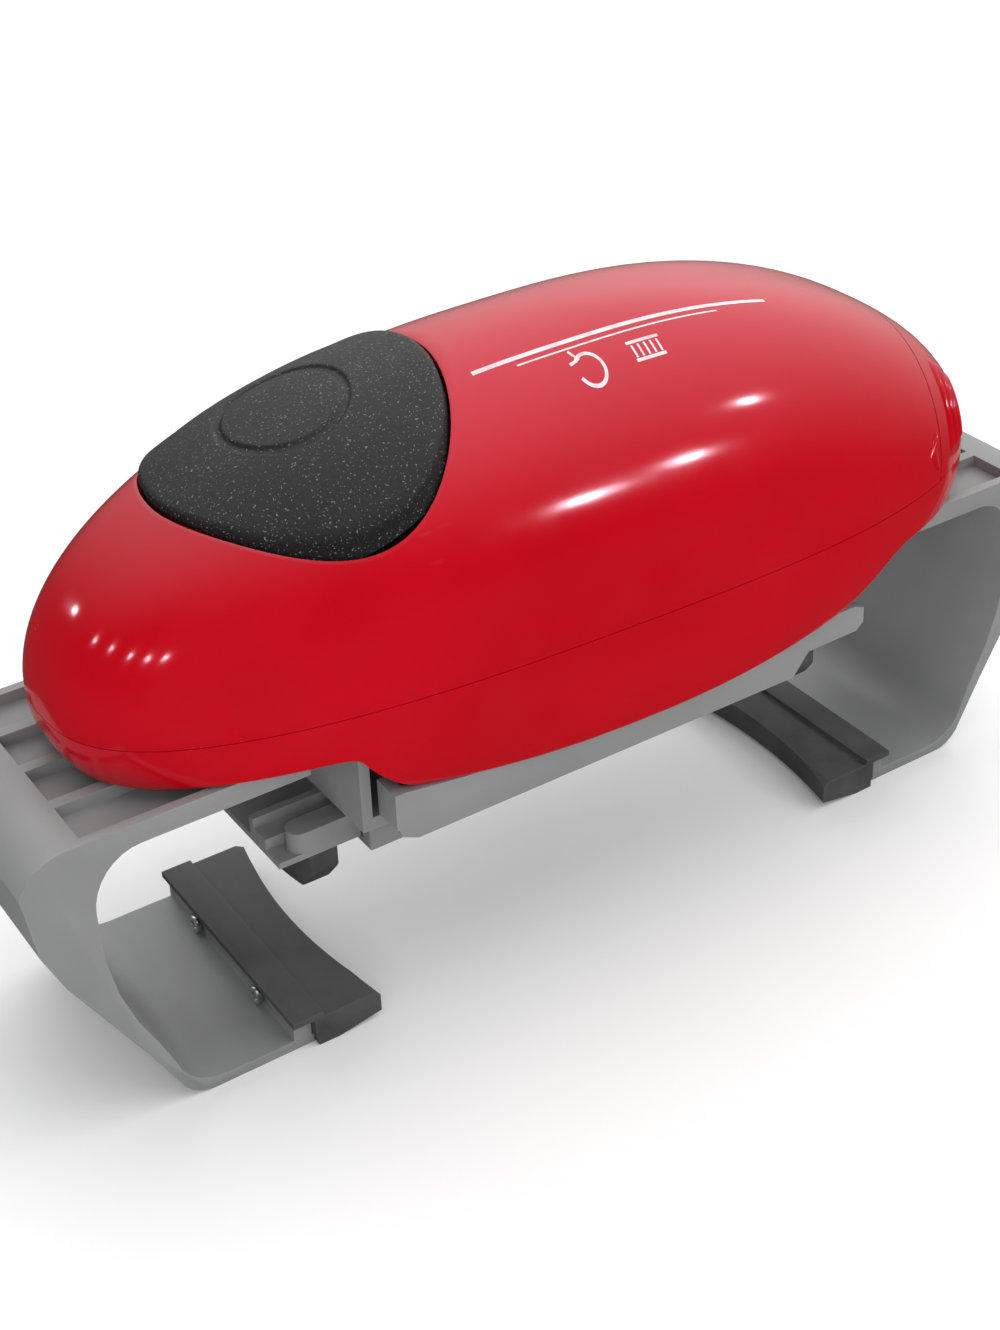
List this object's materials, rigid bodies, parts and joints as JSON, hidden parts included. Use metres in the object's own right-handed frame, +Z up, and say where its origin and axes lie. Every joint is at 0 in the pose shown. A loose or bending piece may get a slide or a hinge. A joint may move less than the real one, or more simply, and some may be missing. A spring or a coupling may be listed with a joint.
{
  "type": "automatic jar opener",
  "caption": "Battery-powered automatic jar opener: glossy egg-shaped housing with a round button, sliding C-shaped jar arms with grip pads, and a lid rotor with sliding jaws underneath.",
  "frame": {"origin": "centre of the footprint, on the plane that the two arms stand on", "axes": "+X along the housing from the button end to the battery end, +Y across it to the rear, +Z up"},
  "size_m": [0.222, 0.0716, 0.114],
  "materials": {
    "gloss_red": "high gloss",
    "light_grey": "fine satin grain",
    "mid_grey": "satin",
    "dark_grain": "grained matte",
    "dark_rubber": "matte",
    "black_plastic": "satin",
    "white_nylon": "satin, milky",
    "steel": "bright zinc",
    "spring_steel": "drawn wire",
    "brass": "turned",
    "cell_jacket": "printed film, plain",
    "board": "lacquered"
  },
  "bodies": {
    "housing": {"upper_shell": "gloss_red", "lower_shell": "gloss_red", "base_chassis": "light_grey", "base_bush": "brass", "housing_screws": "steel", "gearbox_floor": "mid_grey", "gearbox_roof": "mid_grey", "gearbox_posts": "mid_grey", "gearbox_screws": "steel", "gear_axles": "steel", "arm_guide_front": "white_nylon", "arm_guide_rear": "white_nylon", "motor_can": "steel", "motor_end_cap": "black_plastic", "motor_screws": "steel", "battery_tray": "black_plastic", "battery_cell_front": "cell_jacket", "battery_cell_rear": "cell_jacket", "contact_plate": "steel", "contact_spring": "spring_steel", "circuit_board": "board", "board_parts": "black_plastic", "button_well": "black_plastic", "button_spring": "spring_steel", "switch_body": "black_plastic"},
    "door": {"battery_door": "gloss_red", "door_contact": "steel"},
    "button": {"button_cap": "dark_grain"},
    "lever": {"switch_lever": "steel"},
    "motor_rotor": {"motor_shaft": "steel", "motor_pinion": "brass"},
    "gear_1": {"compound_gear_1": "white_nylon"},
    "gear_2": {"compound_gear_2": "white_nylon"},
    "gear_3": {"compound_gear_3": "white_nylon"},
    "gear_out": {"output_gear": "white_nylon"},
    "arm_gear": {"arm_pinion": "white_nylon"},
    "rotor": {"main_shaft": "steel", "shaft_circlip": "steel", "clutch_disc": "steel", "clutch_spring": "spring_steel", "clutch_nut": "steel", "rotor_carriage": "mid_grey", "pinion_washer": "steel", "shaft_screw": "steel", "press_spring": "spring_steel"},
    "press": {"press_plate": "dark_rubber"},
    "lid_gear": {"lid_pinion": "white_nylon"},
    "lid_left": {"lid_jaw_left": "mid_grey", "lid_pad_left": "dark_rubber"},
    "lid_right": {"lid_jaw_right": "mid_grey", "lid_pad_right": "dark_rubber"},
    "arm_left": {"jar_arm_left": "light_grey", "jar_pad_left": "dark_rubber", "pad_screws_left": "steel"},
    "arm_right": {"jar_arm_right": "light_grey", "jar_pad_right": "dark_rubber", "pad_screws_right": "steel"}
  },
  "joints": [
    {"name": "battery_door_slide", "type": "slide", "parent": "housing", "child": "door", "axis": [1, 0, 0], "range_m": [0, 0.02]},
    {"name": "button_press", "type": "slide", "parent": "housing", "child": "button", "axis": [0.309, 0, -0.9511], "range_m": [0, 0.002], "stiffness_N_per_m": 500, "springref_m": -0.003, "deforming": ["button_spring"]},
    {"name": "switch_lever_turn", "type": "hinge", "parent": "housing", "child": "lever", "pos_m": [-0.0335, 0, 0.0856], "axis": [0, -1, 0], "range_deg": [0, 13.5]},
    {"name": "output_turn", "type": "hinge", "parent": "housing", "child": "gear_out", "pos_m": [0, 0, 0.0636], "axis": [0, 0, 1], "continuous": true},
    {"name": "gear_3_turn", "type": "hinge", "parent": "housing", "child": "gear_3", "pos_m": [-0.01732, 0.01, 0.066], "axis": [0, 0, 1], "continuous": true},
    {"name": "gear_2_turn", "type": "hinge", "parent": "housing", "child": "gear_2", "pos_m": [-0.00357, 0.0088, 0.069], "axis": [0, 0, 1], "continuous": true},
    {"name": "gear_1_turn", "type": "hinge", "parent": "housing", "child": "gear_1", "pos_m": [0.01019, 0.00976, 0.072], "axis": [0, 0, 1], "continuous": true},
    {"name": "motor_turn", "type": "hinge", "parent": "housing", "child": "motor_rotor", "pos_m": [0.01995, 0, 0.076], "axis": [0, 0, 1], "continuous": true},
    {"name": "jar_arm_left_slide", "type": "slide", "parent": "housing", "child": "arm_left", "axis": [1, 0, 0], "range_m": [0, 0.032]},
    {"name": "jar_arm_right_slide", "type": "slide", "parent": "housing", "child": "arm_right", "axis": [-1, 0, 0], "range_m": [0, 0.032]},
    {"name": "arm_gear_turn", "type": "hinge", "parent": "housing", "child": "arm_gear", "pos_m": [0, 0, 0.0573], "axis": [0, 0, 1], "range_deg": [0, 153]},
    {"name": "rotor_turn", "type": "hinge", "parent": "housing", "child": "rotor", "pos_m": [0, 0, 0.04], "axis": [0, 0, 1], "continuous": true},
    {"name": "lid_jaw_left_slide", "type": "slide", "parent": "rotor", "child": "lid_left", "axis": [1, 0, 0], "range_m": [0, 0.034]},
    {"name": "lid_jaw_right_slide", "type": "slide", "parent": "rotor", "child": "lid_right", "axis": [-1, 0, 0], "range_m": [0, 0.034]},
    {"name": "lid_gear_turn", "type": "hinge", "parent": "rotor", "child": "lid_gear", "pos_m": [0, 0, 0.0354], "axis": [0, 0, 1], "range_deg": [0, 326]},
    {"name": "press_plate_slide", "type": "slide", "parent": "rotor", "child": "press", "axis": [0, 0, 1], "range_m": [0, 0.003], "stiffness_N_per_m": 120, "springref_m": -0.002, "deforming": ["press_spring"]}
  ],
  "couplings": [
    {"joint": "switch_lever_turn", "follows": "button_press", "rad_per_m": 116.06},
    {"joint": "gear_3_turn", "follows": "output_turn", "ratio": -4},
    {"joint": "gear_2_turn", "follows": "output_turn", "ratio": 14.4},
    {"joint": "gear_1_turn", "follows": "output_turn", "ratio": -51.84},
    {"joint": "motor_turn", "follows": "output_turn", "ratio": 186.62},
    {"joint": "jar_arm_right_slide", "follows": "jar_arm_left_slide", "ratio": 1},
    {"joint": "arm_gear_turn", "follows": "jar_arm_left_slide", "rad_per_m": 83.333},
    {"joint": "lid_jaw_right_slide", "follows": "lid_jaw_left_slide", "ratio": 1},
    {"joint": "lid_gear_turn", "follows": "lid_jaw_left_slide", "rad_per_m": 166.67}
  ]
}
